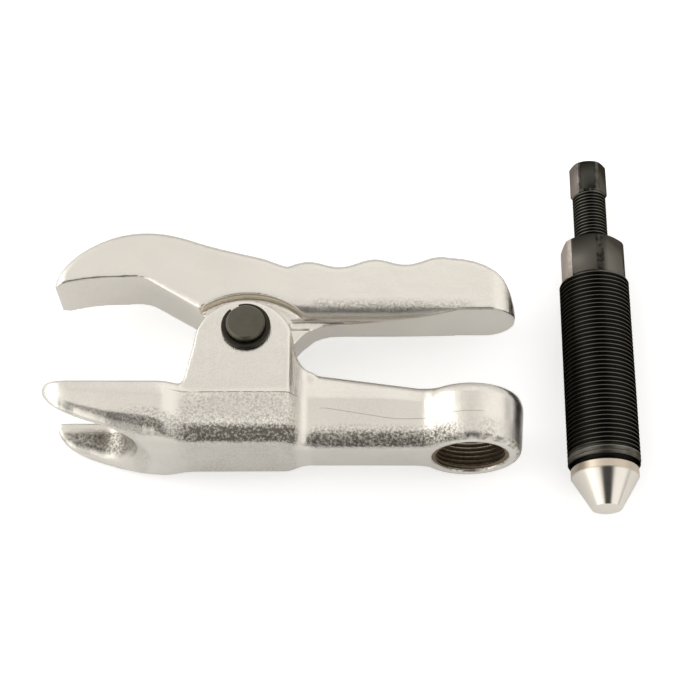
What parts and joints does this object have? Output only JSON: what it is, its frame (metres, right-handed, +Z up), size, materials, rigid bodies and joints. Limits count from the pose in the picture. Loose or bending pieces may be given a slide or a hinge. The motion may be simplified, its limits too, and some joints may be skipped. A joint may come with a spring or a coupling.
{
  "type": "ball joint separator",
  "caption": "Forged lever-type ball joint separator: a fork with a clevis and threaded boss, a rocking lever on a cross pin, and a hydraulic pressure spindle lying beside it.",
  "frame": {"origin": "under the middle of the whole layout, on the surface that it lies on", "axes": "+X from the fork's tips to the boss and the spindle, +Y from the fork towards the lever and along the spindle to its small hexagon, +Z up along the cross pin"},
  "size_m": [0.2324, 0.1565, 0.049],
  "materials": {
    "forging": "satin nickel plate over a forged surface, machined on the ears, the jaw and the pad",
    "lever_forging": "satin nickel plate over a forged surface, machined on the jaw and the pad",
    "pin_steel": "turned and black-oxided",
    "ring_steel": "black-oxided spring steel",
    "barrel_steel": "oiled black oxide, brown-grey on the hexagon",
    "screw_steel": "oiled black oxide, brown-grey on the hexagon",
    "ram_steel": "finely turned bright steel",
    "plunger_steel": "ground",
    "ball_steel": "polished",
    "seal_rubber": "oiled black nitrile",
    "seal_plastic": "white PTFE"
  },
  "bodies": {
    "frame": {"lower_body": "forging"},
    "rocker": {"lever": "lever_forging"},
    "pin": {"pivot_pin": "pin_steel", "pivot_ring_front": "ring_steel", "pivot_ring_rear": "ring_steel"},
    "spindle": {"spindle_body": "barrel_steel", "ram_retaining_ring": "ring_steel"},
    "press_plunger": {"plunger": "plunger_steel", "plunger_seal": "seal_rubber", "plunger_backup_ring": "seal_plastic", "thrust_ball": "ball_steel"},
    "screw": {"feed_screw": "screw_steel"},
    "press_ram": {"ram": "ram_steel", "ram_seal": "seal_rubber", "ram_backup_ring": "seal_plastic", "ram_guide_ring": "seal_plastic"}
  },
  "joints": [
    {"name": "lever_pivot", "type": "hinge", "parent": "frame", "child": "rocker", "pos_m": [-0.03898, -0.01373, 0.0245], "axis": [0, 0, 1], "range_deg": [-18, 28]},
    {"name": "pin_turn", "type": "hinge", "parent": "frame", "child": "pin", "pos_m": [-0.03898, -0.01373, 0.0245], "axis": [0, 0, 1], "continuous": true},
    {"name": "spindle_lift", "type": "slide", "parent": "frame", "child": "spindle", "axis": [0, 0, 1], "range_m": [0, 0.06]},
    {"name": "plunger_feed", "type": "slide", "parent": "spindle", "child": "press_plunger", "axis": [-0.0209, -0.9998, 0], "range_m": [0, 0.0195]},
    {"name": "screw_turn", "type": "hinge", "parent": "press_plunger", "child": "screw", "pos_m": [0.102, 0.02955, 0.0142], "axis": [-0.0209, -0.9998, 0], "range_deg": [0, 4680]},
    {"name": "ram_stroke", "type": "slide", "parent": "spindle", "child": "press_ram", "axis": [-0.0209, -0.9998, 0], "range_m": [0, 0.0059]}
  ],
  "couplings": [
    {"joint": "screw_turn", "follows": "plunger_feed", "rad_per_m": 4188.8},
    {"joint": "ram_stroke", "follows": "plunger_feed", "ratio": 0.3025}
  ]
}
